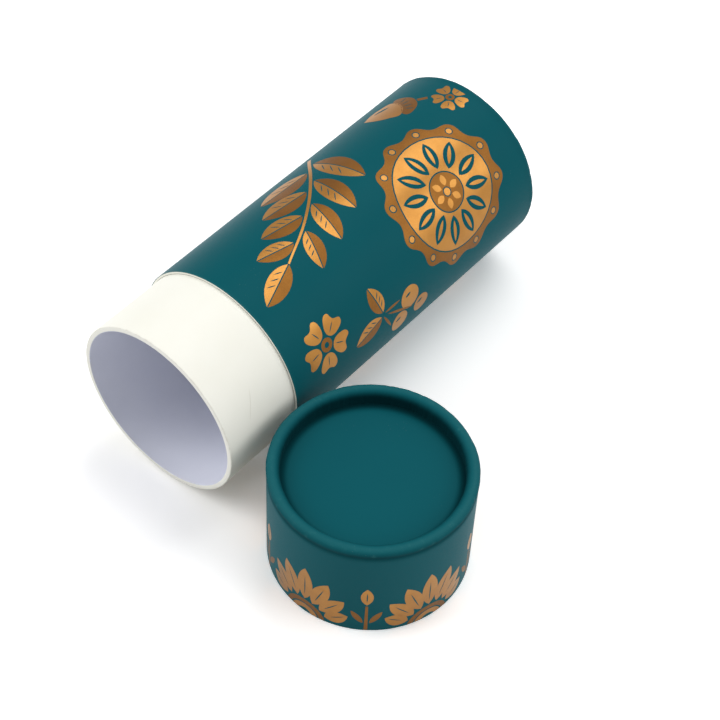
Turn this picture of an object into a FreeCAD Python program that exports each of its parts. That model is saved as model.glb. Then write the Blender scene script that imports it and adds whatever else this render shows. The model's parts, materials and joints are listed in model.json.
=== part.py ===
"""Cylindrical gift tube box: a wrapped board tube with a slip neck, and its lift-off lid.

The tube lies on its side with its mouth towards -Y. The lid stands mouth down beside the neck.
Both closed ends are made alike: board and wrap are rolled inwards and back down onto an inset
disc, which sits between the roll and a ledge that skiving leaves in the board.
Each piece is drawn upright in its own half's frame, with the crest of the rolled rim at
height 0 and the open end upwards, and its placement then lays the tube or turns the lid over.
Millimetres, +Z up, origin on the table under the middle of the set.
"""
import FreeCAD, Part
import math
import os
import Sketcher

# Driving dimensions, in millimetres
DIMENSIONS = (
    ("outer_radius", 41.5),   # outside of the wrap, on the tube and on the lid
    ("body_length", 161.0),   # from the shoulder to the crest of the base rim
    ("neck_length", 38.0),    # how far the sleeve stands out of the shoulder
    ("lid_height", 52.5),     # from the lid's open edge to the crest of its rim
    ("shoulder_step", 1.25),  # from the outside of the wrap in to the neck
    ("lid_slip", 0.15),       # clearance all round between the neck and the lid
    ("sleeve_board", 1.6),    # board of the inner sleeve
    ("disc_board", 1.8),      # board of the two end discs
    ("rim_board", 0.45),      # board that skiving leaves where the end is rolled
    ("neck_card", 0.45),      # white card round the neck
    ("pad_card", 0.5),        # white card on the inside of the two ends
    ("wrap_paper", 0.2),      # printed wrap and disc covers
    ("lining_paper", 0.15),   # white paper inside the sleeve
    ("rim_radius", 2.5),      # outside radius of the rolled rim's round section
    ("rim_recess", 7.0),      # from the crest of a rolled rim in to the disc's face
    ("lid_across", 88.2),     # from the tube's axis sideways to the lid's axis
    ("lid_ahead", 8.9),       # from the shoulder plane forwards to the lid's axis
)

# Sizes worked out from the driving dimensions, as expressions on the sheet
WRAP_RADIUS = "dims.outer_radius"
BOARD_RADIUS = "dims.outer_radius - dims.wrap_paper"
DISC_RADIUS = BOARD_RADIUS + " - dims.rim_board"
NECK_RADIUS = "dims.outer_radius - dims.shoulder_step"
SLEEVE_RADIUS = NECK_RADIUS + " - dims.neck_card"
LINING_RADIUS = SLEEVE_RADIUS + " - dims.sleeve_board"
MOUTH_RADIUS = LINING_RADIUS + " - dims.lining_paper"
LID_BORE_RADIUS = NECK_RADIUS + " + dims.lid_slip"
ROLL_CENTRE_RADIUS = "dims.outer_radius - dims.rim_radius"
COVER_HEIGHT = "dims.rim_recess"
DISC_HEIGHT = COVER_HEIGHT + " + dims.wrap_paper"
PAD_HEIGHT = DISC_HEIGHT + " + dims.disc_board"
FLOOR_HEIGHT = PAD_HEIGHT + " + dims.pad_card"
SET_DEPTH = "dims.body_length + dims.lid_ahead + dims.outer_radius"

START, END, CENTRE = 1, 2, 3
SKETCH_ORIGIN = (-1, 1)
UPRIGHT = FreeCAD.Vector(0, 0, 1)
QUARTER_TURN = 90
HALF_TURN = 180
FULL_TURN = 360

doc = FreeCAD.newDocument("gift_tube_box")
sheet = doc.addObject("Spreadsheet::Sheet", "dims")
for row, (alias, value) in enumerate(DIMENSIONS, start=1):
    sheet.set("A%d" % row, alias)
    sheet.set("B%d" % row, str(value))
    sheet.setAlias("B%d" % row, alias)
doc.recompute()


def origin_feature(body, role):
    """The body's own origin plane or axis with this role."""
    return next(feature for feature in body.Origin.OriginFeatures if feature.Role == role)


def new_body(label):
    """An empty body for one piece."""
    body = doc.addObject("PartDesign::Body", label)
    body.Label = label
    return body


def new_sketch(body, plane):
    """An empty sketch on one of the body's own planes."""
    sketch = body.newObject("Sketcher::SketchObject", body.Label + "_profile")
    sketch.AttachmentSupport = [(origin_feature(body, plane), "")]
    sketch.MapMode = "FlatFace"
    return sketch


def constrain(sketch, kind, *places):
    """Adds a constraint and gives its number."""
    return sketch.addConstraint(Sketcher.Constraint(kind, *places))


def dimension(sketch, kind, places, rough, expression):
    """Adds a dimension and ties its value to the sheet."""
    number = constrain(sketch, kind, *places, rough)
    sketch.setExpression("Constraints[%d]" % number, expression)


def straight_piece(label, outer, inner, start, length):
    """A straight disc or tube, padded from its flat outline."""
    body = new_body(label)
    sketch = new_sketch(body, "XY_Plane")
    sketch.setExpression("AttachmentOffset.Base.z", start)
    rough = sheet.outer_radius
    for radius in filter(None, (outer, inner)):
        circle = sketch.addGeometry(Part.Circle(FreeCAD.Vector(), UPRIGHT, rough))
        constrain(sketch, "Coincident", circle, CENTRE, *SKETCH_ORIGIN)
        dimension(sketch, "Radius", (circle,), rough, radius)
        rough -= sheet.sleeve_board
    pad = body.newObject("PartDesign::Pad", label + "_pad")
    pad.Profile = sketch
    pad.setExpression("Length", length)
    return body


def rolled_profile(sketch, outer, roll_inner, wall_inner, height):
    """Half section of a wall whose closed end rolls inwards and back down onto the disc.

    Both arcs of the roll share a centre, one rim radius in from the outside and one up from
    the crest, and run on as a straight leg to the disc. Where wall_inner is given, the wall
    above the disc thickens to it at a ledge.
    The first positions only need the right order: the dimensions then set them.
    """
    roll = sheet.rim_radius
    middle = sheet.outer_radius - roll
    gap = roll / 2
    outside_x = middle + roll
    roll_x = middle + gap
    wall_x = middle + roll / 4 if wall_inner else roll_x
    foot_y = sheet.rim_recess
    ledge_y = foot_y + roll
    top_y = sheet.lid_height
    edges = []

    def line(x_from, y_from, x_to, y_to):
        ends = FreeCAD.Vector(x_from, y_from, 0), FreeCAD.Vector(x_to, y_to, 0)
        edges.append(sketch.addGeometry(Part.LineSegment(*ends)))
        return edges[-1]

    def half_turn(radius):
        circle = Part.Circle(FreeCAD.Vector(middle, roll, 0), UPRIGHT, radius)
        edges.append(sketch.addGeometry(Part.ArcOfCircle(circle, math.pi, 2 * math.pi)))
        return edges[-1]

    foot = line(middle - roll, foot_y, middle - gap, foot_y)
    level = [foot]
    upright = [line(middle - gap, foot_y, middle - gap, roll)]
    inner_arc = half_turn(gap)
    if wall_inner:
        upright.append(line(roll_x, roll, roll_x, ledge_y))
        ledge = line(roll_x, ledge_y, wall_x, ledge_y)
        level.append(ledge)
        upright.append(line(wall_x, ledge_y, wall_x, top_y))
    else:
        upright.append(line(roll_x, roll, roll_x, top_y))
    open_edge = line(wall_x, top_y, outside_x, top_y)
    level.append(open_edge)
    upright.append(line(outside_x, top_y, outside_x, roll))
    outer_arc = half_turn(roll)
    leg = line(middle - roll, roll, middle - roll, foot_y)
    upright.append(leg)

    for first, second in zip(edges, edges[1:] + edges[:1]):
        first_end = START if first == outer_arc else END
        second_end = END if second == outer_arc else START
        constrain(sketch, "Coincident", first, first_end, second, second_end)
    constrain(sketch, "Coincident", outer_arc, CENTRE, inner_arc, CENTRE)
    for edge in upright:
        constrain(sketch, "Vertical", edge)
    for edge in level:
        constrain(sketch, "Horizontal", edge)
    for arc in (inner_arc, outer_arc):
        constrain(sketch, "Horizontal", arc, CENTRE, arc, START)
        constrain(sketch, "Horizontal", arc, CENTRE, arc, END)

    def place(kind, edge, point, rough, expression):
        dimension(sketch, kind, (*SKETCH_ORIGIN, edge, point), rough, expression)

    place("DistanceX", outer_arc, CENTRE, middle, ROLL_CENTRE_RADIUS)
    place("DistanceY", outer_arc, CENTRE, roll, "dims.rim_radius")
    place("DistanceX", outer_arc, END, outside_x, outer)
    place("DistanceX", inner_arc, END, roll_x, roll_inner)
    place("DistanceY", foot, START, foot_y, COVER_HEIGHT)
    place("DistanceY", open_edge, START, top_y, height)
    if wall_inner:
        place("DistanceY", ledge, START, ledge_y, FLOOR_HEIGHT)
        place("DistanceX", ledge, END, wall_x, wall_inner)


def rolled_piece(label, outer, roll_inner, wall_inner, height):
    """A wall with one rolled end, turned from its half section."""
    body = new_body(label)
    sketch = new_sketch(body, "XZ_Plane")
    rolled_profile(sketch, outer, roll_inner, wall_inner, height)
    turn = body.newObject("PartDesign::Revolution", label + "_turn")
    turn.Profile = sketch
    turn.ReferenceAxis = (origin_feature(body, "Z_Axis"), [""])
    turn.Angle = FULL_TURN
    return body


def lay_on_side(body):
    """Tube pieces: the axis along Y, the mouth towards -Y, the wrap resting on the table."""
    body.Placement.Rotation = FreeCAD.Rotation(FreeCAD.Vector(1, 0, 0), QUARTER_TURN)
    body.setExpression("Placement.Base.x", "-dims.lid_across / 2")
    body.setExpression("Placement.Base.y", "(%s) / 2" % SET_DEPTH)
    body.setExpression("Placement.Base.z", "dims.outer_radius")
    return body


def stand_mouth_down(body):
    """Lid pieces: turned over, so the open edge rests on the table and the rim is on top."""
    body.Placement.Rotation = FreeCAD.Rotation(FreeCAD.Vector(1, 0, 0), HALF_TURN)
    body.setExpression("Placement.Base.x", "dims.lid_across / 2")
    body.setExpression("Placement.Base.y", "dims.outer_radius - (%s) / 2" % SET_DEPTH)
    body.setExpression("Placement.Base.z", "dims.lid_height")
    return body


def end_disc(prefix):
    """The disc that closes an end, with its cover outside and its white pad inside."""
    return [
        straight_piece(prefix + "_disc_cover", DISC_RADIUS, None, COVER_HEIGHT, "dims.wrap_paper"),
        straight_piece(prefix + "_disc", DISC_RADIUS, None, DISC_HEIGHT, "dims.disc_board"),
        straight_piece(prefix + "_pad", DISC_RADIUS, None, PAD_HEIGHT, "dims.pad_card"),
    ]


def tube_pieces():
    """The tube: rolled outer tube and wrap, the sleeve with its card and lining, the base."""
    length = "dims.body_length"
    sleeve_length = "dims.body_length + dims.neck_length - (%s)" % FLOOR_HEIGHT
    return [
        rolled_piece("body_tube", BOARD_RADIUS, DISC_RADIUS, SLEEVE_RADIUS, length),
        rolled_piece("body_wrap", WRAP_RADIUS, BOARD_RADIUS, None, length),
        straight_piece("neck_wrap", NECK_RADIUS, SLEEVE_RADIUS, length, "dims.neck_length"),
        straight_piece("neck_sleeve", SLEEVE_RADIUS, LINING_RADIUS, FLOOR_HEIGHT, sleeve_length),
        straight_piece("sleeve_lining", LINING_RADIUS, MOUTH_RADIUS, FLOOR_HEIGHT, sleeve_length),
    ] + end_disc("base")


def lid_pieces():
    """The lid: rolled tube and wrap, and the inset top disc."""
    height = "dims.lid_height"
    return [
        rolled_piece("lid_tube", BOARD_RADIUS, DISC_RADIUS, LID_BORE_RADIUS, height),
        rolled_piece("lid_wrap", WRAP_RADIUS, BOARD_RADIUS, None, height),
    ] + end_disc("lid")


def check(pieces):
    """Stops if any object failed to build or a piece is not one sound solid."""
    for item in doc.Objects:
        if "Invalid" in item.State or "Error" in item.State:
            raise RuntimeError("%s did not build" % item.Label)
    for piece in pieces:
        if piece.Shape.isNull() or not piece.Shape.isValid() or len(piece.Shape.Solids) != 1:
            raise RuntimeError("%s is not one valid solid" % piece.Label)


pieces = [lay_on_side(body) for body in tube_pieces()]
pieces += [stand_mouth_down(body) for body in lid_pieces()]
doc.recompute()
check(pieces)
os.makedirs("parts", exist_ok=True)
for piece in pieces:
    piece.Shape.exportStep(os.path.join("parts", piece.Label + ".step"))
    print("%-16s %9.1f mm3" % (piece.Label, piece.Shape.Volume))
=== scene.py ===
import json
import math

import bmesh
import bpy
from mathutils import Matrix, Vector, noise


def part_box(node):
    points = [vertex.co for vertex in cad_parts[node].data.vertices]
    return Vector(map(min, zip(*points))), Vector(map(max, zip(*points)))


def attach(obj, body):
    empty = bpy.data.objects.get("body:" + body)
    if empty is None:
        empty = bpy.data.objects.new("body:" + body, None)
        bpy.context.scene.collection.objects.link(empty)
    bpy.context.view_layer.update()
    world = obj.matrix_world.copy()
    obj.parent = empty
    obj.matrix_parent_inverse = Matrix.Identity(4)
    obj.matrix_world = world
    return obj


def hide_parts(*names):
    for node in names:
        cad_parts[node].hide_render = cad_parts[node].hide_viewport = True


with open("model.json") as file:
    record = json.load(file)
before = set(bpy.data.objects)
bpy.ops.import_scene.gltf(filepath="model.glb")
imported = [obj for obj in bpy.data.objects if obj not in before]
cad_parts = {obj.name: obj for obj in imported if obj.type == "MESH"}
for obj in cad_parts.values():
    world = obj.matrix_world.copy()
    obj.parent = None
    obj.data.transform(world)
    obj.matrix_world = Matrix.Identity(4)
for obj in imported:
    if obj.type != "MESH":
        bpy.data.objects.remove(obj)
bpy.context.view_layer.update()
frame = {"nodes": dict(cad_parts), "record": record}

# Pieces are drawn in millimetres round their own axis and settled into the frame in metres
MM = 0.001
X, Y, Z = range(3)


def span(node, axis):
    """Lowest and highest place of a CAD node along one axis, in millimetres."""
    low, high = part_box(node)
    return low[axis] / MM, high[axis] / MM


def middle(node, axis):
    return sum(span(node, axis)) / 2


def reach(node, axis):
    """Half the width of a CAD node, which is the radius of a round one."""
    low, high = span(node, axis)
    return (high - low) / 2


def mount_size(name, size):
    mounts = frame["record"]["mounts"]
    return next(mount["dims"][size] for mount in mounts if mount["name"] == name)


# Sizes of the tube and the lid, read from the frame
WALL = reach("body_wrap", X)
PAPER = WALL - reach("body_tube", X)
NECK = reach("neck_wrap", X)
SLEEVE = reach("neck_sleeve", X)
LINING = reach("sleeve_lining", X)
BORE = mount_size("mouth", "r_mm")
DISC = reach("lid_disc_cover", X)
SHOULDER_Y, BASE_Y = span("body_wrap", Y)
MOUTH_Y, SLEEVE_END_Y = span("neck_sleeve", Y)
BODY_LENGTH = BASE_Y - SHOULDER_Y
LID_HEIGHT = span("lid_wrap", Z)[1]
RECESS = LID_HEIGHT - span("lid_disc_cover", Z)[1]
# Radius of the rolled rims in the CAD part, which no box or mount tells
ROLL = 2.5
# Inner face of the paper's leg, which ends the roll and stands on the disc
LEG = WALL - 2 * ROLL

# Where drawings go: the tube's z starts at its base, the lid's at its open edge, the lid rim's at the rim
TUBE_AT = (middle("body_wrap", X) * MM, BASE_Y * MM, middle("body_wrap", Z) * MM)
LID_AT = (middle("lid_wrap", X) * MM, middle("lid_wrap", Y) * MM, 0)
TUBE_PLACE = Matrix.Translation(TUBE_AT) @ Matrix.Rotation(math.radians(90), 4, "X")
LID_PLACE = Matrix.Translation(LID_AT)
LID_RIM_PLACE = (LID_PLACE @ Matrix.Translation((0, 0, LID_HEIGHT * MM))
                 @ Matrix.Rotation(math.radians(180), 4, "X"))


# Node building

def add_node(tree, kind, inputs=None, **options):
    """Add a node. Inputs are values, or sockets to link from."""
    made = tree.nodes.new(kind)
    for option, value in options.items():
        setattr(made, option, value)
    for socket, value in (inputs or {}).items():
        if isinstance(value, bpy.types.NodeSocket):
            tree.links.new(value, made.inputs[socket])
        else:
            made.inputs[socket].default_value = value
    return made


def calc(tree, operation, first, second=0.0, clamp=False):
    """The result of one Math node."""
    return add_node(tree, "ShaderNodeMath", {0: first, 1: second}, operation=operation,
                    use_clamp=clamp).outputs[0]


def part_of(tree, value, share):
    """A value times a share."""
    return calc(tree, "MULTIPLY", value, share)


def remap(tree, value, low, high, to_low=0.0, to_high=1.0):
    """A value brought from one range to another and held inside it."""
    return add_node(tree, "ShaderNodeMapRange",
                    {"Value": value, "From Min": low, "From Max": high,
                     "To Min": to_low, "To Max": to_high},
                    interpolation_type="SMOOTHSTEP").outputs["Result"]


# Most noise values fall between these two
NOISE_LOW, NOISE_HIGH = 0.3, 0.7


def from_noise(tree, value, low=0.0, high=1.0):
    """A noise value spread over a range."""
    return remap(tree, value, NOISE_LOW, NOISE_HIGH, low, high)


MIX_FACTOR, MIX_A, MIX_B, MIX_RESULT = 0, 6, 7, 2


def mix_colour(tree, factor, first, second):
    """The result of one colour Mix node."""
    return add_node(tree, "ShaderNodeMix", {MIX_FACTOR: factor, MIX_A: first, MIX_B: second},
                    data_type="RGBA").outputs[MIX_RESULT]


def cloud(tree, vector, scale, detail=2.0, roughness=0.5):
    """A noise value between 0 and 1; scale counts features per metre."""
    return add_node(tree, "ShaderNodeTexNoise",
                    {"Vector": vector, "Scale": scale, "Detail": detail,
                     "Roughness": roughness}).outputs["Fac"]


def new_group(name, inputs, outputs):
    """An empty shader node group with named sockets; returns it with its two end nodes' sockets."""
    group = bpy.data.node_groups.new(name, "ShaderNodeTree")
    for label, kind in inputs.items():
        group.interface.new_socket(label, in_out="INPUT", socket_type=kind)
    for label in outputs:
        group.interface.new_socket(label, in_out="OUTPUT", socket_type="NodeSocketFloat")
    return group, group.nodes.new("NodeGroupInput").outputs, group.nodes.new("NodeGroupOutput").inputs


FIBRE_HEIGHT = 0.35
CLOUD_HEIGHT = 0.65


def paper_grain():
    """Fibres and cloudiness of a paper face."""
    group, given, result = new_group(
        "paper_grain",
        {"Vector": "NodeSocketVector", "Fibre Scale": "NodeSocketFloat", "Cloud Scale": "NodeSocketFloat"},
        ("Fibre", "Cloud", "Height"))
    fibre = cloud(group, given["Vector"], given["Fibre Scale"], detail=5.0, roughness=0.65)
    drift = cloud(group, given["Vector"], given["Cloud Scale"], detail=3.0)
    height = calc(group, "ADD", part_of(group, fibre, FIBRE_HEIGHT), part_of(group, drift, CLOUD_HEIGHT))
    for label, value in (("Fibre", fibre), ("Cloud", drift), ("Height", height)):
        group.links.new(value, result[label])
    return group


SPOT_FROM = 0.42
SPOT_FULL = 0.66


def worn_edge():
    """Rubbed spots along edges: the piece's own wear value broken up by noise."""
    group, given, result = new_group(
        "worn_edge",
        {"Vector": "NodeSocketVector", "Wear": "NodeSocketFloat", "Spot Scale": "NodeSocketFloat"},
        ("Mask",))
    spots = cloud(group, given["Vector"], given["Spot Scale"], detail=4.0, roughness=0.6)
    rubbed = calc(group, "MULTIPLY", given["Wear"], remap(group, spots, SPOT_FROM, SPOT_FULL))
    group.links.new(rubbed, result["Mask"])
    return group


SPECK_EDGE = 0.10
SPECK_CORE = 0.05
# Specks gather in patches of this scale, where the patches' noise is high
PATCH_SCALE = 45.0
PATCH_FROM = 0.62
PATCH_FULL = 0.7


def fine_dust():
    """Sparse pale specks."""
    group, given, result = new_group(
        "fine_dust", {"Vector": "NodeSocketVector", "Speck Scale": "NodeSocketFloat"}, ("Mask",))
    cells = add_node(group, "ShaderNodeTexVoronoi",
                     {"Vector": given["Vector"], "Scale": given["Speck Scale"], "Randomness": 1.0})
    speck = remap(group, cells.outputs["Distance"], SPECK_EDGE, SPECK_CORE)
    patch = remap(group, cloud(group, given["Vector"], PATCH_SCALE, detail=1.0), PATCH_FROM, PATCH_FULL)
    group.links.new(calc(group, "MULTIPLY", speck, patch), result["Mask"])
    return group


GRAIN = paper_grain()
WORN = worn_edge()
DUST = fine_dust()


def new_finish(name):
    """A material with its tree, its shader and the Object coordinate of its surface."""
    finish = bpy.data.materials.new(name)
    finish.use_nodes = True
    tree = finish.node_tree
    shader = tree.nodes["Principled BSDF"]
    place = tree.nodes.new("ShaderNodeTexCoord").outputs["Object"]
    return finish, tree, shader, place


def grouped(tree, group, inputs):
    """Place a node group in a material with its own values."""
    return add_node(tree, "ShaderNodeGroup", inputs, node_tree=group).outputs


def attribute(tree, name):
    """A value that the mesh carries at its vertices."""
    return add_node(tree, "ShaderNodeAttribute", attribute_name=name).outputs["Fac"]


def raise_surface(tree, shader, height, strength, depth_mm):
    """Feed a height to the shader's normal."""
    bump = add_node(tree, "ShaderNodeBump",
                    {"Strength": strength, "Distance": depth_mm * MM, "Height": height})
    tree.links.new(bump.outputs["Normal"], shader.inputs["Normal"])


# Colours are linear
TEAL = (0.0018, 0.088, 0.108, 1)
TEAL_DEEP = (0.0016, 0.082, 0.101, 1)
# Paler teal of rubbed paper, also used to paint a highlight along the bead's crest
TEAL_WORN_AND_HIGHLIGHT = (0.03, 0.16, 0.17, 1)
# Colour of the painted shade under the bead and in the recess corners
TEAL_SHADE = (0.0004, 0.016, 0.02, 1)
DUST_GREY = (0.2, 0.3, 0.3, 1)
COPPER = (0.36, 0.172, 0.042, 1)
COPPER_DEEP = (0.31, 0.142, 0.033, 1)
BRONZE = (0.2, 0.085, 0.018, 1)
BRONZE_DEEP = (0.165, 0.07, 0.016, 1)
CARD = (0.9, 0.894, 0.815, 1)
CARD_SHADE = (0.888, 0.88, 0.795, 1)
LINING_WHITE = (0.805, 0.825, 0.925, 1)
LINING_SHADE = (0.785, 0.805, 0.91, 1)
BOARD = (0.94, 0.936, 0.87, 1)
BOARD_PLY = (0.62, 0.58, 0.48, 1)
GREYBOARD = (0.42, 0.38, 0.33, 1)
GREYBOARD_FLECK = (0.28, 0.25, 0.22, 1)
GAP_SHADE = (0.12, 0.115, 0.1, 1)

# Teal paper: how far painted shade, rubbing (which also paints a highlight along the bead's crest) and dust
# change its print and its gloss
TEAL_SHADED = 0.8
TEAL_RUBBED_SPOTS = 0.4
TEAL_RUB_AND_HIGHLIGHT_EVENLY = 0.28
TEAL_DUSTED = 0.3
TEAL_ROUGHNESS = (0.40, 0.5)
TEAL_DULLED = 0.5


def teal_paper():
    """Printed paper under a matt film: cloudy teal, rubbed paler along its edges, with a painted highlight
    along the bead's crest and painted shade in its corners and under the bead.
    """
    finish, tree, shader, place = new_finish("teal_paper")
    grain = grouped(tree, GRAIN, {"Vector": place, "Fibre Scale": 2600.0, "Cloud Scale": 55.0})
    wear, shade = attribute(tree, "wear"), attribute(tree, "shade")
    worn = grouped(tree, WORN, {"Vector": place, "Wear": wear, "Spot Scale": 420.0})["Mask"]
    dust = grouped(tree, DUST, {"Vector": place, "Speck Scale": 700.0})["Mask"]
    print_tone = mix_colour(tree, grain["Cloud"], TEAL_DEEP, TEAL)
    # Painted shade, after the mesh's shade value
    darker = mix_colour(tree, part_of(tree, shade, TEAL_SHADED), print_tone, TEAL_SHADE)
    rub_and_highlight = calc(tree, "MAXIMUM", part_of(tree, worn, TEAL_RUBBED_SPOTS),
                  part_of(tree, wear, TEAL_RUB_AND_HIGHLIGHT_EVENLY))
    # Rubbed spots are real wear; the even paling along the wear value pales the cut edges and paints a
    # highlight on the bead's crest
    rubbed = mix_colour(tree, rub_and_highlight, darker, TEAL_WORN_AND_HIGHLIGHT)
    dusty = mix_colour(tree, part_of(tree, dust, TEAL_DUSTED), rubbed, DUST_GREY)
    tree.links.new(dusty, shader.inputs["Base Color"])
    film = from_noise(tree, grain["Fibre"], *TEAL_ROUGHNESS)
    dulled = calc(tree, "ADD", film, part_of(tree, shade, TEAL_DULLED), clamp=True)
    tree.links.new(dulled, shader.inputs["Roughness"])
    shader.inputs["Specular IOR Level"].default_value = 0.04
    raise_surface(tree, shader, grain["Height"], strength=0.06, depth_mm=0.05)
    return finish


FOIL_RUBBED_OFF = 0.35


def stamped_foil(name, light, deep, roughness):
    """Hot-stamped metal film: it takes the paper's fine surface and dulls in patches."""
    finish, tree, shader, place = new_finish(name)
    grain = grouped(tree, GRAIN, {"Vector": place, "Fibre Scale": 1900.0, "Cloud Scale": 90.0})
    dust = grouped(tree, DUST, {"Vector": place, "Speck Scale": 900.0})["Mask"]
    film = mix_colour(tree, from_noise(tree, grain["Cloud"]), deep, light)
    rubbed = mix_colour(tree, part_of(tree, dust, FOIL_RUBBED_OFF), film, TEAL)
    tree.links.new(rubbed, shader.inputs["Base Color"])
    tree.links.new(from_noise(tree, grain["Fibre"], *roughness), shader.inputs["Roughness"])
    shader.inputs["Metallic"].default_value = 1.0
    raise_surface(tree, shader, grain["Height"], strength=0.1, depth_mm=0.05)
    return finish


def axis_mapping(at, turn_x):
    """Mapping values that bring an axis at a place in the frame to the texture's z axis."""
    turned_at = Matrix.Rotation(turn_x, 4, "X") @ Vector(at)
    return tuple(-turned_at), (turn_x, 0, 0)


TUBE_AXIS = axis_mapping(TUBE_AT, math.radians(-90))
LID_AXIS = axis_mapping(LID_AT, 0)


def round_axis(tree, place, centre, turn):
    """Places measured from a piece's own axis, which lies along z."""
    return add_node(tree, "ShaderNodeMapping",
                    {"Vector": place, "Location": centre, "Rotation": turn}).outputs["Vector"]


def split(tree, vector):
    """The x, y and z of a vector."""
    return add_node(tree, "ShaderNodeSeparateXYZ", {"Vector": vector}).outputs


# The neck's wrinkle: angle round the neck in degrees, distance from the shoulder, slant and size
WRINKLE_ANGLE = 26.0
WRINKLE_FROM_SHOULDER = 22.0
WRINKLE_TURN = math.radians(-24)
WRINKLE_REACH = 8.0
WRINKLE_FULL = 0.4 * WRINKLE_REACH
WRINKLE_WIDTH = 0.4


def neck_wrinkle(tree, place):
    """A short straight wrinkle pressed into the neck's card: 1 along its line, fading out to its ends."""
    across, ahead, along = split(tree, round_axis(tree, place, *TUBE_AXIS))
    angle = calc(tree, "ARCTAN2", ahead, across)
    unrolled = add_node(tree, "ShaderNodeCombineXYZ",
                        {"X": part_of(tree, angle, NECK * MM), "Y": along}).outputs["Vector"]
    middle_u, middle_v = NECK * math.radians(WRINKLE_ANGLE), BODY_LENGTH + WRINKLE_FROM_SHOULDER
    line = add_node(tree, "ShaderNodeMapping",
                    {"Vector": unrolled, "Location": (middle_u * MM, middle_v * MM, 0),
                     "Rotation": (0, 0, WRINKLE_TURN)}, vector_type="TEXTURE").outputs["Vector"]
    lengthwise, sideways, _ = split(tree, line)
    near = remap(tree, calc(tree, "ABSOLUTE", sideways), WRINKLE_WIDTH * MM, 0.0)
    within = remap(tree, calc(tree, "ABSOLUTE", lengthwise), WRINKLE_REACH * MM, WRINKLE_FULL * MM)
    return calc(tree, "MULTIPLY", near, within)


# White paper: how far wear and dust soil it and the wrinkle darkens it, its grain beside the wrinkle's
# depth, its gloss
WHITE_SOILED = 0.35
WHITE_SPECKED = 0.25
WHITE_WRINKLED = 0.3
WHITE_GRAIN = 0.06
WHITE_ROUGHNESS_SPAN = 0.12


def white_paper(name, light, shade, roughness, wrinkled=False):
    """Smooth white paper with fibres, a slightly soiled edge and, on the neck, one wrinkle."""
    finish, tree, shader, place = new_finish(name)
    grain = grouped(tree, GRAIN, {"Vector": place, "Fibre Scale": 1500.0, "Cloud Scale": 70.0})
    wear = attribute(tree, "wear")
    worn = grouped(tree, WORN, {"Vector": place, "Wear": wear, "Spot Scale": 300.0})["Mask"]
    dust = grouped(tree, DUST, {"Vector": place, "Speck Scale": 500.0})["Mask"]
    tone = mix_colour(tree, from_noise(tree, grain["Cloud"]), shade, light)
    soiled = mix_colour(tree, part_of(tree, worn, WHITE_SOILED), tone, BOARD_PLY)
    specked = mix_colour(tree, part_of(tree, dust, WHITE_SPECKED), soiled, BOARD_PLY)
    height = part_of(tree, grain["Height"], WHITE_GRAIN)
    if wrinkled:
        fold = neck_wrinkle(tree, place)
        specked = mix_colour(tree, part_of(tree, fold, WHITE_WRINKLED), specked, BOARD_PLY)
        height = calc(tree, "SUBTRACT", height, fold)
    tree.links.new(specked, shader.inputs["Base Color"])
    dull = from_noise(tree, grain["Fibre"], roughness, roughness + WHITE_ROUGHNESS_SPAN)
    tree.links.new(dull, shader.inputs["Roughness"])
    shader.inputs["Specular IOR Level"].default_value = 0.3
    raise_surface(tree, shader, height, strength=1.0, depth_mm=0.06)
    return finish


# Board: how far its plies and fibres show, its gloss, and the width of the shade in a gap
PLIES_SHOW = 0.4
FIBRES_SHOW = 0.3
BOARD_ROUGHNESS = (0.75, 0.95)
GAP_FADE = 0.3


def cut_board(name, centre, turn, light, ply, plies_per_metre, gap_r=0.0):
    """Wound board: its cut edge shows the plies as rings round the axis, with loose fibres.

    Inside gap_r it is in the shade of the narrow gap round the next piece.
    """
    finish, tree, shader, place = new_finish(name)
    axis = round_axis(tree, place, centre, turn)
    across, ahead, _ = split(tree, axis)
    squares = [calc(tree, "POWER", side, 2.0) for side in (across, ahead)]
    radius = calc(tree, "SQRT", calc(tree, "ADD", *squares))
    in_gap = remap(tree, radius, (gap_r + GAP_FADE) * MM, gap_r * MM)
    rings = add_node(tree, "ShaderNodeTexWave",
                     {"Vector": axis, "Scale": plies_per_metre, "Distortion": 1.5,
                      "Detail": 3.0, "Detail Scale": 4.0},
                     wave_type="RINGS", rings_direction="Z")
    grain = grouped(tree, GRAIN, {"Vector": place, "Fibre Scale": 1100.0, "Cloud Scale": 120.0})
    layered = mix_colour(tree, part_of(tree, rings.outputs["Fac"], PLIES_SHOW), light, ply)
    tone = mix_colour(tree, part_of(tree, grain["Fibre"], FIBRES_SHOW), layered, ply)
    shaded = mix_colour(tree, in_gap, tone, GAP_SHADE)
    tree.links.new(shaded, shader.inputs["Base Color"])
    tree.links.new(from_noise(tree, grain["Fibre"], *BOARD_ROUGHNESS), shader.inputs["Roughness"])
    shader.inputs["Specular IOR Level"].default_value = 0.2
    raise_surface(tree, shader, grain["Height"], strength=0.35, depth_mm=0.12)
    return finish


WOUND_PLIES = 500.0
DISC_PLIES = 300.0

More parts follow.
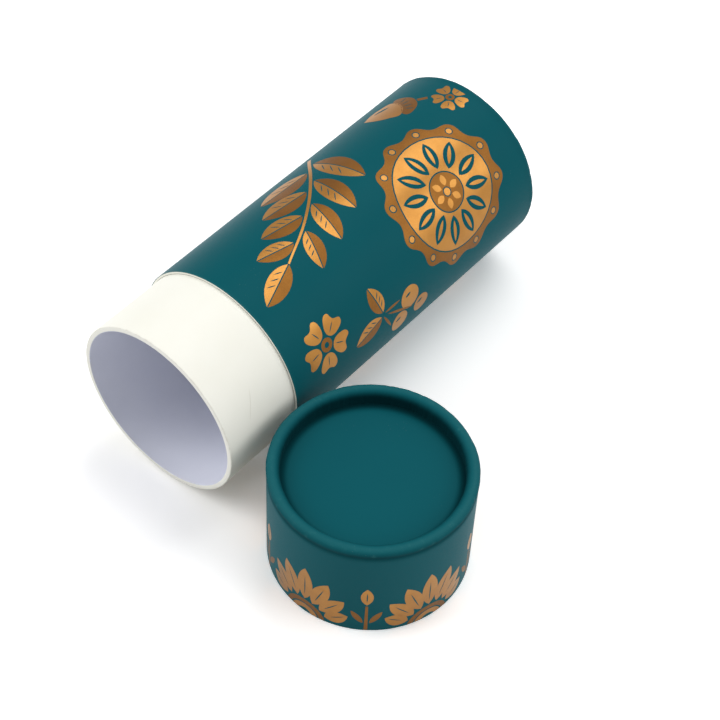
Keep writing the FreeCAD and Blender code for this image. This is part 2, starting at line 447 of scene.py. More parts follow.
TEAL_PAPER = teal_paper()
COPPER_FOIL = stamped_foil("copper_foil", COPPER, COPPER_DEEP, roughness=(0.3, 0.4))
BRONZE_FOIL = stamped_foil("bronze_foil", BRONZE, BRONZE_DEEP, roughness=(0.42, 0.52))
NECK_CARD = white_paper("neck_card", CARD, CARD_SHADE, roughness=0.42, wrinkled=True)
LINING_PAPER = white_paper("lining_paper", LINING_WHITE, LINING_SHADE, roughness=0.5)
SLEEVE_BOARD = cut_board("sleeve_board", *TUBE_AXIS, BOARD, CARD_SHADE, WOUND_PLIES)
BODY_BOARD = cut_board("body_board", *TUBE_AXIS, CARD, BOARD, WOUND_PLIES, gap_r=NECK)
LID_BOARD = cut_board("lid_board", *LID_AXIS, CARD, BOARD, WOUND_PLIES)
DISC_BOARD = cut_board("disc_board", *LID_AXIS, GREYBOARD, GREYBOARD_FLECK, DISC_PLIES)


# Mesh building

# Faces round a rolled wrap and round a plain piece, and the sectors that a piece is spun in
ROUND = 720
ROUND_PLAIN = 288
SECTORS = 24
# Points nearer to each other than this are one
JOIN = 0.002
SHARP_ANGLE = math.radians(38)
# Cut edges are rubbed over this height, which has its own rows of faces
EDGE_WEAR = 1.5
EDGE_ROWS = 3
EDGE_FADE = EDGE_WEAR / 3


def settle(bm, name, place, finish, body, slot, *stands_for):
    """Bring a millimetre mesh to its place in metres and let it ride its body."""
    bmesh.ops.transform(bm, matrix=place @ Matrix.Scale(MM, 4), verts=bm.verts)
    bmesh.ops.recalc_face_normals(bm, faces=bm.faces)
    mesh = bpy.data.meshes.new(name)
    bm.to_mesh(mesh)
    bm.free()
    mesh.polygons.foreach_set("use_smooth", [True] * len(mesh.polygons))
    mesh.set_sharp_from_angle(angle=SHARP_ANGLE)
    mesh.materials.append(finish)
    piece = bpy.data.objects.new(name, mesh)
    bpy.context.scene.collection.objects.link(piece)
    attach(piece, body)
    if stands_for:
        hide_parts(*stands_for)


def pull(bm, vert, r, z, steps=1):
    """Extrude one vertex to a radius and height, in equal steps, and return the last one."""
    start, end = vert.co.copy(), Vector((r, 0, z))
    for step in range(steps):
        vert = bmesh.ops.extrude_vert_indiv(bm, verts=[vert])["verts"][0]
        vert.co = start.lerp(end, (step + 1) / steps)
    return vert


def curl(bm, vert, angle, steps):
    """Carry one vertex round the middle of the rolled rim."""
    spun = bmesh.ops.spin(bm, geom=[vert], cent=(WALL - ROLL, 0, ROLL), axis=(0, 1, 0),
                          angle=math.radians(angle), steps=steps)
    return spun["geom_last"][0]


def spin_round(bm, steps):
    """Spin a drawn section once round the z axis: one sector of it, then copies that join up."""
    sector = math.tau / SECTORS
    bmesh.ops.spin(bm, geom=bm.verts[:] + bm.edges[:], cent=(0, 0, 0), axis=(0, 0, 1),
                   angle=sector, steps=steps // SECTORS)
    bmesh.ops.spin(bm, geom=bm.verts[:] + bm.edges[:] + bm.faces[:], cent=(0, 0, 0), axis=(0, 0, 1),
                   angle=math.tau - sector, steps=SECTORS - 1, use_duplicate=True)
    bmesh.ops.remove_doubles(bm, verts=bm.verts, dist=JOIN)


def bell(x, middle_x, width):
    return math.exp(-((x - middle_x) / width) ** 2)


def ease(x, low, high):
    """Smooth step from 0 at low to 1 at high."""
    t = min(max((x - low) / (high - low), 0.0), 1.0)
    return t * t * (3 - 2 * t)


# Rolled rims: places and widths are measured along the paper's outer face from where the roll begins
ROLL_TURN = 180
ROLL_STEPS = 24
ROLL_STEPS_INSIDE = 8
LEG_ROWS = 9
LEG_AT = math.pi * ROLL
RIM_ROWS = 12
RIM_ROWS_HEIGHT = 5.2
# How far the bead swells outside and inside its drawn roll, and the crease below it
SWELL = 0.4
SWELL_AT = 1.7
SWELL_WIDTH = 1.7
INNER_SWELL = 0.25
INNER_SWELL_AT = 7.6
INNER_SWELL_WIDTH = 2.2
CREASE = 0.1
CREASE_AT = -0.9
CREASE_WIDTH = 0.8
# How full each rim's bead is: the lid's stands proud of the wall, the base's runs on from it
LID_BEAD = 1.0
BASE_BEAD = 0.1
# Where the paper is rubbed along the bead's crest, which also paints a highlight there
CREST_WEAR_AND_HIGHLIGHT = 1.0
CREST_AT = 3.1
CREST_WIDTH = 1.6
# Where painted shade darkens the paper: under the bead, and from the bead's inner side down into the recess
# corner
PAINTED_SHADE_UNDER_BEAD = 0.75
UNDER_BEAD_AT = -0.4
UNDER_BEAD_UP = 1.4
UNDER_BEAD_DOWN = 2.2
INSIDE_FROM = 4.4
INSIDE_FULL = 7.8
# Lumps of the bead and pleats of its inner side: height, number round the rim, where they set in
LUMP = 0.17
LUMPS_ROUND = 7.0
LUMP_DRIFT = 0.08
LUMP_FINE = 0.09
LUMPS_ROUND_FINE = 26.0
LUMP_FINE_DRIFT = 0.12
LUMPS_FROM = -1.6
LUMPS_FULL = 0.8
PLEAT = 0.12
PLEATS_ROUND = 60.0
PLEATS_FROM = 4.5
PLEATS_FULL = 7.5
# Layers of the noise that keep the kinds of lump and the rims apart
LUMP_FINE_LAYER = 5
PLEAT_LAYER = 9
BASE_LAYER = 2.0
LID_LAYER = 31.0
# Overlap of a wrap's two edges
SEAM_STEP = 0.1
SEAM_WIDTH = math.radians(14)
TUBE_SEAM = math.radians(222)
LID_SEAM = math.radians(-100)
# Nicks in a rim: angle round it, distance along the paper, depth and width
LID_NICKS = [(-165, 3.4, 0.42, 0.8), (-162.5, 4.1, 0.38, 0.6), (-69, 4.2, 0.4, 0.8), (-66, 3.3, 0.3, 0.7),
             (113, 1.0, 0.2, 0.8), (17, 0.4, 0.22, 1.1), (24, 0.2, 0.2, 0.9), (50, 0.6, 0.1, 1.2),
             (88, 0.8, 0.16, 1.0), (-20, 1.6, 0.18, 0.8), (-120, 2.2, 0.16, 0.9)]
BASE_NICKS = [(20, 1.8, 0.18, 0.9), (75, 3.0, 0.2, 1.0), (140, 1.2, 0.22, 1.0), (190, 2.4, 0.18, 0.8),
              (255, 0.9, 0.2, 1.1), (310, 3.2, 0.16, 0.9)]
NICK_REACH = 3.0
# The paper never goes deeper than this, so that it stays clear of the board
DEEPEST = -0.17


def ring_noise(angle, count, layer):
    """Noise that closes on itself round a rim."""
    return noise.noise(Vector((math.cos(angle) * count / 2, math.sin(angle) * count / 2, layer)))


def along_paper(r, z):
    """Distance along the paper, the way out of it in r and z, and depth inside its outer face.

    The distance is negative down the wall and positive into the roll.
    """
    across, up = r - (WALL - ROLL), z - ROLL
    if up >= 0:
        depth = ROLL - abs(across)
        return (-up, 1.0, 0.0, depth) if across > 0 else (LEG_AT + up, -1.0, 0.0, depth)
    turn = math.atan2(-up, across)
    return turn * ROLL, math.cos(turn), -math.sin(turn), ROLL - math.hypot(across, up)


def rim_shift(angle, along, layer, bead):
    """How far the rim's paper stands out of the drawn roll at one place."""
    shift = SWELL * bell(along, SWELL_AT, SWELL_WIDTH) - CREASE * bell(along, CREASE_AT, CREASE_WIDTH)
    shift += INNER_SWELL * bell(along, INNER_SWELL_AT, INNER_SWELL_WIDTH)
    shift *= bead
    lumpy = ease(along, LUMPS_FROM, LUMPS_FULL)
    fine_layer = layer + LUMP_FINE_LAYER + LUMP_FINE_DRIFT * along
    shift += lumpy * LUMP * ring_noise(angle, LUMPS_ROUND, layer + LUMP_DRIFT * along)
    shift += lumpy * LUMP_FINE * ring_noise(angle, LUMPS_ROUND_FINE, fine_layer)
    pleated = ease(along, PLEATS_FROM, PLEATS_FULL)
    shift += pleated * PLEAT * ring_noise(angle, PLEATS_ROUND, layer + PLEAT_LAYER)
    return shift


def rim_shade(along, bead):
    """How much painted shade darkens the paper at one place, from its open wall to its recess corner."""
    under_width = UNDER_BEAD_UP if along > UNDER_BEAD_AT else UNDER_BEAD_DOWN
    under = bead * PAINTED_SHADE_UNDER_BEAD * bell(along, UNDER_BEAD_AT, under_width)
    return ease(along, INSIDE_FROM, INSIDE_FULL) + under


def nick_dent(angle, along, nicks):
    """How deep the nicks press the paper at one place, and how rubbed they leave it."""
    dent, rubbed = 0.0, 0.0
    for nick_angle, nick_along, depth, width in nicks:
        off = math.remainder(angle - math.radians(nick_angle), math.tau) * WALL
        if abs(off) < NICK_REACH * width:
            near = bell(math.hypot(off, along - nick_along), 0, width)
            dent += depth * near
            rubbed = max(rubbed, near * near)
    return dent, rubbed


def seam_lift(angle, seam):
    """The overlap of a wrap's two edges stands proud over a narrow strip."""
    return SEAM_STEP if 0 < math.remainder(angle - seam, math.tau) < SEAM_WIDTH else 0.0


def plain_wrap(length):
    """A paper wrap with one end rolled inwards: rim crest at z 0, cut edge at z length."""
    bm = bmesh.new()
    edge = bm.verts.new((WALL, 0, length))
    rubbed_edge = pull(bm, edge, WALL, length - EDGE_WEAR, EDGE_ROWS)
    near_rim = pull(bm, rubbed_edge, WALL, ROLL + RIM_ROWS_HEIGHT)
    start = pull(bm, near_rim, WALL, ROLL, RIM_ROWS)
    leg = curl(bm, start, ROLL_TURN, ROLL_STEPS)
    foot = pull(bm, leg, LEG, RECESS, LEG_ROWS)
    foot_inside = pull(bm, foot, LEG + PAPER, RECESS)
    leg_inside = pull(bm, foot_inside, LEG + PAPER, ROLL)
    wall_inside = curl(bm, leg_inside, -ROLL_TURN, ROLL_STEPS_INSIDE)
    edge_inside = pull(bm, wall_inside, WALL - PAPER, length)
    bm.edges.new((edge_inside, edge))
    spin_round(bm, ROUND)
    return bm


def rolled_wrap(length, layer, bead, seam, nicks, lowest):
    """A rolled wrap with its bead, lumps, nicks and seam, and with its wear, a painted highlight on the
    bead's crest and painted shade as vertex values.

    Nothing goes below lowest along y, where a lying tube rests on the table.
    """
    bm = plain_wrap(length)
    wear = bm.verts.layers.float.new("wear")
    shade = bm.verts.layers.float.new("shade")
    for vert in bm.verts:
        r, angle = math.hypot(vert.co.x, vert.co.y), math.atan2(vert.co.y, vert.co.x)
        along, out_r, out_z, depth = along_paper(r, vert.co.z)
        shift, rubbed = 0.0, 0.0
        if along > -RIM_ROWS_HEIGHT and depth < PAPER / 2:
            dent, rubbed = nick_dent(angle, along, nicks)
            shift = max(rim_shift(angle, along, layer, bead) - dent, DEEPEST)
        # Real wear and a painted highlight along the bead's crest
        rubbed += bead * CREST_WEAR_AND_HIGHLIGHT * bell(along, CREST_AT, CREST_WIDTH)
        rubbed += bell(vert.co.z, length, EDGE_FADE)
        vert[wear] = min(rubbed, 1.0)
        vert[shade] = rim_shade(along, bead)
        r += (shift + seam_lift(angle, seam)) * out_r
        vert.co = (r * math.cos(angle), max(r * math.sin(angle), lowest), vert.co.z + shift * out_z)
    return bm


def make_wraps():
    body = rolled_wrap(BODY_LENGTH, BASE_LAYER, BASE_BEAD, TUBE_SEAM, BASE_NICKS, -WALL)
    settle(body, "body_wrap_paper", TUBE_PLACE, TEAL_PAPER, "tube", "teal_wrap", "body_wrap")
    lid = rolled_wrap(LID_HEIGHT, LID_LAYER, LID_BEAD, LID_SEAM, LID_NICKS, -math.inf)
    settle(lid, "lid_wrap_paper", LID_RIM_PLACE, TEAL_PAPER, "lid", "teal_wrap", "lid_wrap")


DISC_ROWS = 40
DISC_DISH = 0.12
DISC_WAVE = 0.05
DISC_WAVE_SCALE = 0.06
BASE_DISC_LAYER = 3.0
LID_DISC_LAYER = 7.0
# The disc is held flat near its edge: shares of its radius
HELD_FROM = 0.75
HELD_FULL = 0.92
# The painted shade of the recess corner, measured inwards from the rim's leg
DISC_SHADE_FROM = 4.0
DISC_SHADE_FULL = 0.8


def disc_paper(layer):
    """The paper on an end disc, its face at the recess and slightly uneven."""
    bm = bmesh.new()
    centre = bm.verts.new((0, 0, RECESS))
    rim = pull(bm, centre, DISC, RECESS, DISC_ROWS)
    rim_inside = pull(bm, rim, DISC, RECESS + PAPER)
    pull(bm, rim_inside, 0, RECESS + PAPER)
    spin_round(bm, ROUND_PLAIN)
    shade = bm.verts.layers.float.new("shade")
    for vert in bm.verts:
        # Painted shade at the disc's edge, in the recess corner
        vert[shade] = ease(vert.co.xy.length, LEG - DISC_SHADE_FROM, LEG - DISC_SHADE_FULL)
        part = vert.co.xy.length / DISC
        loose = 1 - ease(part, HELD_FROM, HELD_FULL)
        wave = noise.noise(Vector((vert.co.x * DISC_WAVE_SCALE, vert.co.y * DISC_WAVE_SCALE, layer)))
        vert.co.z += loose * (DISC_WAVE * wave + DISC_DISH * (1 - part * part))
    return bm


def make_discs():
    base = disc_paper(BASE_DISC_LAYER)
    settle(base, "base_disc_paper", TUBE_PLACE, TEAL_PAPER, "tube", "teal_wrap", "base_disc_cover")
    lid = disc_paper(LID_DISC_LAYER)
    settle(lid, "lid_disc_paper", LID_RIM_PLACE, TEAL_PAPER, "lid", "teal_wrap", "lid_disc_cover")


def is_corner(edge, r, z):
    """Whether an edge runs round the axis at this radius and height."""
    return all(abs(vert.co.z - z) < JOIN and abs(vert.co.xy.length - r) < JOIN for vert in edge.verts)


def ring_tube(inner, outer, low, high, soft_inside, soft_outside):
    """A straight tube whose two corners at its upper end are softened."""
    bm = bmesh.new()
    low_inside = bm.verts.new((inner, 0, low))
    low_outside = pull(bm, low_inside, outer, low)
    rubbed_outside = pull(bm, low_outside, outer, high - EDGE_WEAR)
    high_outside = pull(bm, rubbed_outside, outer, high, EDGE_ROWS)
    high_inside = pull(bm, high_outside, inner, high)
    rubbed_inside = pull(bm, high_inside, inner, high - EDGE_WEAR, EDGE_ROWS)
    bm.edges.new((rubbed_inside, low_inside))
    spin_round(bm, ROUND_PLAIN)
    for r, soft in ((inner, soft_inside), (outer, soft_outside)):
        corner = [edge for edge in bm.edges if is_corner(edge, r, high)]
        bmesh.ops.bevel(bm, geom=corner, offset=soft, affect="EDGES", segments=4, profile=0.5, material=-1)
    wear = bm.verts.layers.float.new("wear")
    for vert in bm.verts:
        vert[wear] = bell(vert.co.z, high, EDGE_FADE)
    return bm


# How far the corners at the mouth are softened: outside, where two pieces meet, and on the lining
ROUNDED = 0.35
BUTTED = 0.02
LINING_SOFT = 0.1


def make_neck():
    """The neck's card, the sleeve and its lining, with the mouth at their upper end."""
    mouth, end = BASE_Y - MOUTH_Y, BASE_Y - SLEEVE_END_Y
    card = ring_tube(SLEEVE, NECK, BODY_LENGTH, mouth, BUTTED, ROUNDED)
    settle(card, "neck_card", TUBE_PLACE, NECK_CARD, "tube", "white_card", "neck_wrap")
    board = ring_tube(LINING, SLEEVE, end, mouth, BUTTED, BUTTED)
    settle(board, "neck_board", TUBE_PLACE, SLEEVE_BOARD, "tube", "sleeve_board", "neck_sleeve")
    lining = ring_tube(BORE, LINING, end, mouth, LINING_SOFT, BUTTED)
    settle(lining, "neck_lining", TUBE_PLACE, LINING_PAPER, "tube", "white_lining", "sleeve_lining")


def dress_frame_nodes():
    """Give the CAD nodes that stay in view their finishes."""
    finishes = {"body_tube": BODY_BOARD, "base_pad": LINING_PAPER, "base_disc": DISC_BOARD,
                "lid_tube": LID_BOARD, "lid_pad": NECK_CARD, "lid_disc": DISC_BOARD}
    for node, finish in finishes.items():
        mesh = frame["nodes"][node].data
        mesh.materials.clear()
        mesh.materials.append(finish)


# Foil artwork, drawn flat in millimetres: u round the wall, v along it

# Width of the strips that a flat film is cut into before it is bent round the wall
STRIP = 2.0
STRIP_SNAP = 0.0005
# How far a film stands out of the wall and reaches into it
FOIL_RISE = 0.03
FOIL_SINK = 0.04
HAIRLINE = 0.45
OUTLINE_STEPS = 10
# A curve between two points bulges by three quarters of its handles' lean
HANDLE_LEAN = 4 / 3
# Handles of a leaf, as shares of its length: a whole one's from base and tip, a half one's from its base
ALMOND_BASE, ALMOND_TIP = 0.25, 0.3
HALF_BASE, HALF_RIB, HALF_TIP = 0.22, 0.5, 0.72


def smooth(*points):
    return [(point, "AUTO") for point in points]


def straight(*points):
    return [(point, "VECTOR") for point in points]


def circle(u, v, radius):
    return smooth((u + radius, v), (u, v + radius), (u - radius, v), (u, v - radius))


def round_points(count, radius, start=0.0):
    """Points evenly round a circle."""
    return [Vector((radius * math.cos(start + math.tau * i / count),
                    radius * math.sin(start + math.tau * i / count))) for i in range(count)]


def almond(length, width, base=0.0):
    """A leaf outline from its base to its tip, up the v axis: knots with both handles given."""
    lean = width * HANDLE_LEAN / 2
    low, high = base, base + length
    swell_low, swell_high = low + ALMOND_BASE * length, high - ALMOND_TIP * length
    return [((0, low), ((-lean, swell_low), (lean, swell_low))),
            ((0, high), ((lean, swell_high), (-lean, swell_high)))]


def half_almond(length, width, gap):
    """One half of a leaf, beside its midrib; a negative width gives the left half."""
    lean = width * HANDLE_LEAN
    inset = math.copysign(gap / 2, width)
    rib = Vector((inset, HALF_RIB * length))
    return [((inset, 0), (rib, (lean, HALF_BASE * length))),
            ((inset, length), ((lean, HALF_TIP * length), rib))]


def turned(outline, angle, u=0.0, v=0.0):
    """An outline turned about its origin and moved."""
    spin = Matrix.Rotation(angle, 2)
    shift = Vector((u, v))

    def put(point):
        return spin @ Vector(point) + shift

    return [(put(point), handles if isinstance(handles, str) else tuple(map(put, handles)))
            for point, handles in outline]


def add_outline(curve, outline):
    """Add one closed outline to a curve."""
    spline = curve.splines.new("BEZIER")
    spline.bezier_points.add(len(outline) - 1)
    spline.use_cyclic_u = True
    spline.resolution_u = OUTLINE_STEPS
    for knot, (point, handles) in zip(spline.bezier_points, outline):
        knot.co = (*point, 0)
        if isinstance(handles, str):
            knot.handle_left_type = knot.handle_right_type = handles
        else:
            knot.handle_left_type = knot.handle_right_type = "FREE"
            knot.handle_left, knot.handle_right = [(*handle, 0) for handle in handles]


def cut(bm, point, normal, clear):
    """Cut a flat film along a line and, where asked, clear what is beyond it."""
    bmesh.ops.bisect_plane(bm, geom=bm.verts[:] + bm.edges[:] + bm.faces[:], dist=STRIP_SNAP,
                           plane_co=point, plane_no=normal, clear_outer=clear)


def thicken(bm):
    """Raise a flat film out of the wall and give it a back that reaches into the wall."""
    bmesh.ops.translate(bm, verts=bm.verts, vec=(0, 0, FOIL_RISE))
    back = bmesh.ops.extrude_face_region(bm, geom=bm.faces[:])["geom"]
    back_verts = [part for part in back if isinstance(part, bmesh.types.BMVert)]
    bmesh.ops.translate(bm, verts=back_verts, vec=(0, 0, -FOIL_RISE - FOIL_SINK))


def bend(bm, seam):
    """Bend a flat film round the wall."""
    for vert in bm.verts:
        angle = vert.co.x / WALL
        r = WALL + vert.co.z + seam_lift(angle, seam)
        vert.co = (r * math.cos(angle), r * math.sin(angle), vert.co.y)


class FoilSheet:
    """The foil of one wall: flat shapes of two films, gathered and then laid on the wall."""

    def __init__(self):
        self.films = {"copper": bmesh.new(), "bronze": bmesh.new()}
        self.place = Matrix()

    def at(self, angle, height, turn=0.0, scale=1.0):
        """Put the next motif at an angle round the wall, a height along it and a turn, in degrees."""
        self.place = (Matrix.Translation((WALL * math.radians(angle), height, 0))
                      @ Matrix.Rotation(math.radians(turn), 4, "Z") @ Matrix.Scale(scale, 4))

    def stamp(self, film, outline, holes=()):
        """Fill one outline, less its holes, at the motif's place."""
        curve = bpy.data.curves.new("outline", "CURVE")
        curve.dimensions = "2D"
        curve.fill_mode = "FRONT"
        for line in (outline, *holes):
            add_outline(curve, line)
        holder = bpy.data.objects.new("outline", curve)
        flat = bpy.data.meshes.new_from_object(holder)
        flat.transform(self.place)
        self.films[film].from_mesh(flat)
        bpy.data.objects.remove(holder)
        bpy.data.curves.remove(curve)
        bpy.data.meshes.remove(flat)

    def lay(self, name, place, body, low_edge, seam):
        """Trim the films at the wall's edge, bend them round the wall and settle them."""
        for film, finish in (("copper", COPPER_FOIL), ("bronze", BRONZE_FOIL)):
            bm = self.films[film]
            bmesh.ops.remove_doubles(bm, verts=bm.verts, dist=JOIN)
            cut(bm, (0, low_edge, 0), (0, -1, 0), True)
            places = [vert.co.x for vert in bm.verts]
            for step in range(math.ceil(min(places) / STRIP), math.ceil(max(places) / STRIP)):
                cut(bm, (step * STRIP, 0, 0), (1, 0, 0), False)
            bmesh.ops.dissolve_degenerate(bm, dist=JOIN, edges=bm.edges)
            thicken(bm)
            bend(bm, seam)
            settle(bm, f"{name}_{film}", place, finish, body, f"{film}_foil")


# Veins of a leaf: places along it, slant, and shares of its width
VEINS_AT = (0.2, 0.36, 0.52)
VEIN_TURN = math.radians(-42)
VEIN_LENGTH = 0.85
VEIN_INSET = 0.16


def leaf(sheet, angle, u, v, length, width):
    """A leaf of two films with a bare midrib, its right half veined."""
    vein = almond(VEIN_LENGTH * width, HAIRLINE)
    veins = [turned(vein, VEIN_TURN, VEIN_INSET * width, part * length) for part in VEINS_AT]
    right = half_almond(length, width, HAIRLINE)
    left = half_almond(length, -width, HAIRLINE)
    sheet.stamp("copper", turned(right, angle, u, v), [turned(vein, angle, u, v) for vein in veins])
    sheet.stamp("bronze", turned(left, angle, u, v))


# The stem: its length, the radius it bows on, its width, how much it narrows, and its outline's knots
STEM_LENGTH = 66.0
STEM_BOW = 120.0
STEM_WIDTH = 1.5
STEM_TAPER = 0.5
STEM_KNOTS = (0, 0.33, 0.66, 1.0)
# Pairs of leaves: where they stand on the stem, their lean in degrees and their size, first and per pair
LEAF_PAIRS = 4
PAIR_FIRST = 11
PAIR_STEP = 14
PAIR_STAGGER = 3.5
LEAF_OFF_STEM = 0.7
LEAF_LEAN, LEAF_LEAN_LESS = 50, 4
LEAF_LENGTH, LEAF_SHORTER = 24, 2.6
LEAF_WIDTH, LEAF_NARROWER = 5.6, 0.6
TIP_GAP = 0.3
TIP_LENGTH = 20
TIP_WIDTH = 4.4


def stem_point(along, side=0.0):
    """A place on the bowed stem, or beside it."""
    turn = along / STEM_BOW
    reach_out = STEM_BOW - side
    return Vector((STEM_BOW - reach_out * math.cos(turn), reach_out * math.sin(turn)))


def stem_edge(side, parts):
    """Points along one side of the stem, which narrows towards its tip."""
    return [stem_point(part * STEM_LENGTH, side * STEM_WIDTH * (1 - STEM_TAPER * part) / 2)
            for part in parts]


def sprig(sheet):
    """A bowed stem with pairs of leaves that shorten towards a last one at its tip."""
    right = stem_edge(1, STEM_KNOTS)
    left = stem_edge(-1, reversed(STEM_KNOTS))
    stem = straight(right[0]) + smooth(*right[1:-1]) + straight(right[-1], left[0])
    sheet.stamp("copper", stem + smooth(*left[1:-1]) + straight(left[-1]))
    for pair in range(LEAF_PAIRS):
        for side in (-1, 1):
            along = PAIR_FIRST + PAIR_STEP * pair + PAIR_STAGGER * side
            base = stem_point(along, side * (STEM_WIDTH / 2 + LEAF_OFF_STEM))
            lean = -along / STEM_BOW - side * math.radians(LEAF_LEAN - LEAF_LEAN_LESS * pair)
            length, width = LEAF_LENGTH - LEAF_SHORTER * pair, LEAF_WIDTH - LEAF_NARROWER * pair
            leaf(sheet, lean, base.x, base.y, length, width)
    tip = stem_point(STEM_LENGTH + TIP_GAP)
    leaf(sheet, -STEM_LENGTH / STEM_BOW, tip.x, tip.y, TIP_LENGTH, TIP_WIDTH)


# Radii of the medallion: scalloped border with studs, face with petals, eye
PETALS = 12
SCALLOP = 31.0
SCALLOP_NOTCH = 28.2
STUD_RING = 27.6
STUD_HOLE = 1.7
STUD = 1.25
BORDER_INSIDE = 24.6
FACE = 24.0
FACE_INSIDE = 8.7
EYE = 8.1
EYE_INSIDE = 2.1
EYE_STUD = 1.6


def rosette(sheet):
    """A round medallion: scalloped dark border with studs, pierced petals and a small flower."""
    step = math.tau / PETALS
    lobes = []
    for top, notch in zip(round_points(PETALS, SCALLOP), round_points(PETALS, SCALLOP_NOTCH, step / 2)):
        lobes += [top, notch]
    studs = round_points(PETALS, STUD_RING)
    stud_holes = [circle(*point, STUD_HOLE) for point in studs]
    sheet.stamp("bronze", smooth(*lobes), [circle(0, 0, BORDER_INSIDE), *stud_holes])
    for point in studs:
        sheet.stamp("copper", circle(*point, STUD))
    petals = [turned(almond(length=12.6, width=5.6, base=9.8), step * i) for i in range(PETALS)]
    sheet.stamp("copper", circle(0, 0, FACE), [circle(0, 0, FACE_INSIDE), *petals])
    for i in range(PETALS):
        sheet.stamp("copper", turned(almond(length=8.6, width=1.7, base=12.0), step * i))
    inner = [turned(almond(length=4.6, width=2.9, base=2.6), step * 2 * i) for i in range(PETALS // 2)]
    sheet.stamp("bronze", circle(0, 0, EYE), [circle(0, 0, EYE_INSIDE), *inner])
    sheet.stamp("copper", circle(0, 0, EYE_STUD))
    for petal in inner:
        sheet.stamp("copper", petal)


# Scores of the nut's cup: slant in degrees and place across it
CUP_SCORES = ((28, -2.9), (10, -1.0), (-10, 1.0), (-28, 2.9))


def acorn(sheet):
    """A nut in its scored cup."""
    nut = smooth((-5.6, 0), (-5.6, -5), (-3.8, -9.6)) + straight((0, -13.6))
    nut += smooth((3.8, -9.6), (5.6, -5), (5.6, 0))
    glint = turned(almond(length=7.0, width=1.3), math.radians(6), u=-2.6, v=-8.8)
    sheet.stamp("copper", nut, [glint])
    cup = smooth((-6.8, 1.3), (-5.6, 5.4), (0, 8.2), (5.6, 5.4), (6.8, 1.3), (0, 1.8))
    score = almond(length=3.6, width=HAIRLINE)
    scores = [turned(score, math.radians(turn), u, v=2.6) for turn, u in CUP_SCORES]
    sheet.stamp("bronze", cup, scores)
    sheet.stamp("bronze", straight((-0.8, 8.7), (0.8, 8.7), (1.6, 12.4), (0.2, 12.8)))


# Berries: place and radius; stalks: turn in degrees, place and length
BERRIES = ((-5.2, -6, 4.4), (4.6, -8, 4.9), (0.4, -17, 4.0))
STALKS = ((142, -0.6, 6.0, 8.4), (-155, 0.9, 5.6, 8.6), (180, 0.1, 4.0, 15.6))


def berries(sheet):
    """Three berries on forked stalks with two leaves."""
    for u, v, radius in BERRIES:
        glint = turned(almond(length=3.2, width=1.1), math.radians(40), u + 2.0, v + 0.2)
        sheet.stamp("copper", circle(u, v, radius), [glint])
    for turn, u, v, length in STALKS:
        sheet.stamp("bronze", turned(almond(length, width=1.1), math.radians(turn), u, v))
    leaf(sheet, math.radians(38), u=-0.8, v=7.0, length=15, width=3.8)
    leaf(sheet, math.radians(-50), u=1.2, v=7.0, length=13, width=3.4)


BLOSSOM_PETALS = 5
BLOSSOM_EYE = 2.7
BLOSSOM_EYE_INSIDE = 1.1


def blossom(sheet):
    """Notched petals round a dark eye."""
    petal = smooth((0, 3.4), (-3.6, 6.4), (-3.4, 10.4), (0, 9.6), (3.4, 10.4), (3.6, 6.4))
    slit = almond(length=4.2, width=HAIRLINE, base=4.4)
    for i in range(BLOSSOM_PETALS):
        turn = math.tau * i / BLOSSOM_PETALS
        sheet.stamp("copper", turned(petal, turn), [turned(slit, turn)])
    sheet.stamp("bronze", circle(0, 0, BLOSSOM_EYE), [circle(0, 0, BLOSSOM_EYE_INSIDE)])


# Leaves of a fan: turn to both sides in degrees, and reach of the tip; all start from one circle
BLADES = ((0, 27), (21, 25.5), (42, 22.5), (63, 18.5))
FAN_BASE = 9.0
BLADE_WIDTH = 6.4
SLIT_FROM = FAN_BASE + 2.6
SLIT_SHARE = 0.6
# The fan's two rings: outer and inner radius
OUTER_RING = (8.3, 6.2)
INNER_RING = (5.6, 3.2)


def fan(sheet):
    """A half-round fan of leaves that runs off the wall's lower edge."""
    for turn, tip in BLADES:
        for side in ((1,) if turn == 0 else (-1, 1)):
            angle = math.radians(turn * side)
            length = tip - FAN_BASE
            slit = turned(almond(SLIT_SHARE * length, HAIRLINE, SLIT_FROM), angle)
            sheet.stamp("copper", turned(almond(length, BLADE_WIDTH, FAN_BASE), angle), [slit])
    for film, (outer, inner) in (("bronze", OUTER_RING), ("copper", INNER_RING)):
        sheet.stamp(film, circle(0, 0, outer), [circle(0, 0, inner)])


def bud(sheet):
    """A closed bud on a tall stalk."""
    slit = almond(length=5.5, width=HAIRLINE, base=17.2)
    sheet.stamp("copper", almond(length=9.5, width=4.4, base=15.5), [slit])
    sheet.stamp("bronze", straight((-0.7, -2), (0.7, -2), (0.45, 14.8), (-0.45, 14.8)))
    blade = almond(length=8.0, width=2.4)
    for side in (-1, 1):
        sheet.stamp("bronze", turned(blade, math.radians(-32 * side), u=1.2 * side, v=4.5))


# One half of the tube's artwork: motif, angle round the tube, distance from the shoulder, turn, scale
TUBE_ART = ((rosette, 48, 112, 12, 1.06), (sprig, 134, 88, 52, 1.12), (acorn, 114, 132, 150, 1.15),
            (berries, 8, 62, -25, 1.15), (blossom, 24, 22, 10, 1.15), (blossom, 92, 150, 30, 0.75))
# The lid's fans stand a little below its open edge, where they are trimmed, with buds between them
LID_FANS = 5
FAN_STEP = 360 / LID_FANS
FAN_SCALE = 1.14
FIRST_FAN = -88
FAN_AT = -1.5
LID_TRIM = 0.25


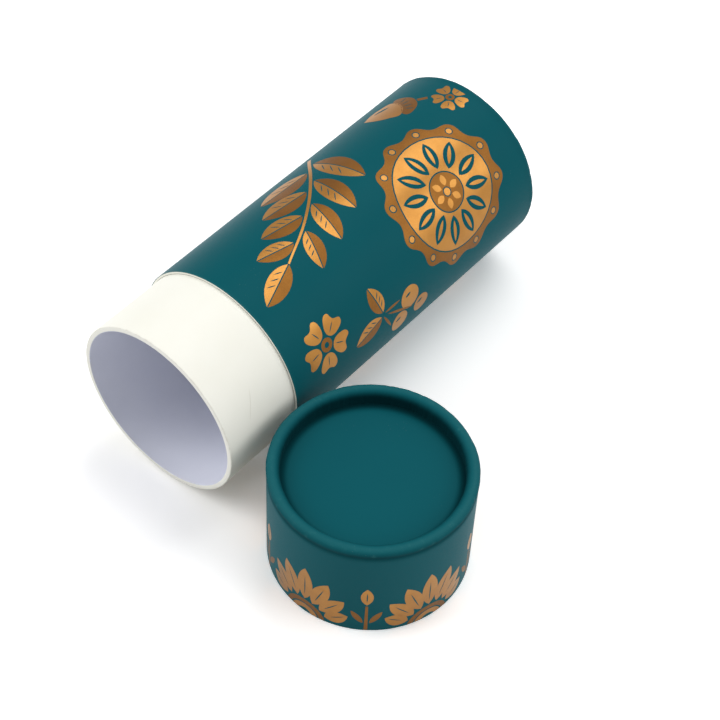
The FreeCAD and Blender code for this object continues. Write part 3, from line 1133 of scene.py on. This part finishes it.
def make_foil():
    """Lay the artwork on the tube's wall, twice round it, and on the lid's."""
    tube = FoilSheet()
    for half in range(2):
        for motif, angle, from_shoulder, turn, scale in TUBE_ART:
            tube.at(angle + 180 * half, BODY_LENGTH - from_shoulder, turn, scale)
            motif(tube)
    tube.lay("tube_foil", TUBE_PLACE, "tube", 2 * ROLL, TUBE_SEAM)
    lid = FoilSheet()
    for i in range(LID_FANS):
        lid.at(FIRST_FAN + FAN_STEP * i, FAN_AT, scale=FAN_SCALE)
        fan(lid)
        lid.at(FIRST_FAN + FAN_STEP * (i + 0.5), 0, scale=FAN_SCALE)
        bud(lid)
    lid.lay("lid_foil", LID_PLACE, "lid", LID_TRIM, -LID_SEAM - SEAM_WIDTH)


# Stage, light and camera

FLOOR_HALF = 12.0
FLOOR_DROP = 0.0001
FLOOR_WHITE = (0.8, 0.8, 0.8, 1)
FLOOR_SEEN = (1.35, 1.35, 1.35, 1)
WORLD_FILL = 0.43
LAMP_ANGLE = math.radians(40)
# Soft lamps: where each stands, seen from the set, and its strength
LAMPS = {"overhead": ((-0.05, 0.6, 1.0), 0.9), "right_back": ((0.8, 0.4, 0.6), 1.05),
         "left_front": ((-0.72, -0.5, 0.62), 1.3)}
CAMERA_AT = (0.30843, -0.41792, 0.63131)
CAMERA_AZIMUTH = math.radians(37.706)
CAMERA_ELEVATION = math.radians(49.482)
CAMERA_ROLL = math.radians(2.885)
CAMERA_LENS = 93.977
CAMERA_SENSOR = 36.0


def seen_factor(tree):
    """1 for rays that show the stage: from the camera, from gloss and through glass."""
    path = tree.nodes.new("ShaderNodeLightPath").outputs
    seen = calc(tree, "MAXIMUM", path["Is Camera Ray"], path["Is Glossy Ray"])
    return calc(tree, "MAXIMUM", seen, path["Is Transmission Ray"])


def make_floor():
    """A pale floor that is white where it is seen and keeps the shadows."""
    finish = bpy.data.materials.new("pale_floor")
    finish.use_nodes = True
    tree = finish.node_tree
    tree.nodes.remove(tree.nodes["Principled BSDF"])
    white = mix_colour(tree, seen_factor(tree), FLOOR_WHITE, FLOOR_SEEN)
    paint = add_node(tree, "ShaderNodeBsdfDiffuse", {"Color": white})
    tree.links.new(paint.outputs[0], tree.nodes["Material Output"].inputs["Surface"])
    bm = bmesh.new()
    bmesh.ops.create_grid(bm, x_segments=1, y_segments=1, size=FLOOR_HALF)
    bmesh.ops.translate(bm, verts=bm.verts, vec=(0, 0, -FLOOR_DROP))
    mesh = bpy.data.meshes.new("floor")
    bm.to_mesh(mesh)
    bm.free()
    mesh.materials.append(finish)
    floor = bpy.data.objects.new("floor", mesh)
    bpy.context.scene.collection.objects.link(floor)


def make_world():
    """Even white light all round, white where it is seen."""
    world = bpy.data.worlds.new("studio")
    world.use_nodes = True
    tree = world.node_tree
    seen = seen_factor(tree)
    strength = calc(tree, "ADD", part_of(tree, seen, 1 - WORLD_FILL), WORLD_FILL)
    tree.nodes["Background"].inputs["Color"].default_value = (1, 1, 1, 1)
    tree.links.new(strength, tree.nodes["Background"].inputs["Strength"])
    bpy.context.scene.world = world


def make_lamps():
    """Broad soft lamps above and to both sides of the set."""
    for name, (stands, strength) in LAMPS.items():
        lamp = bpy.data.lights.new(name, "SUN")
        lamp.energy = strength
        lamp.angle = LAMP_ANGLE
        holder = bpy.data.objects.new(name, lamp)
        holder.rotation_euler = Vector(stands).to_track_quat("Z", "Y").to_euler()
        bpy.context.scene.collection.objects.link(holder)


def make_camera():
    """The camera at the photograph's viewing angle."""
    lens = bpy.data.cameras.new("camera")
    lens.lens = CAMERA_LENS
    lens.sensor_width = CAMERA_SENSOR
    camera = bpy.data.objects.new("camera", lens)
    tilt = Matrix.Rotation(math.pi / 2 - CAMERA_ELEVATION, 4, "X")
    turn = Matrix.Rotation(CAMERA_AZIMUTH, 4, "Z")
    roll = Matrix.Rotation(CAMERA_ROLL, 4, "Z")
    camera.matrix_world = Matrix.Translation(CAMERA_AT) @ turn @ tilt @ roll
    bpy.context.scene.collection.objects.link(camera)
    bpy.context.scene.camera = camera


make_wraps()
make_discs()
make_neck()
dress_frame_nodes()
make_foil()
make_floor()
make_world()
make_lamps()
make_camera()
bpy.context.scene.view_settings.view_transform = "Standard"
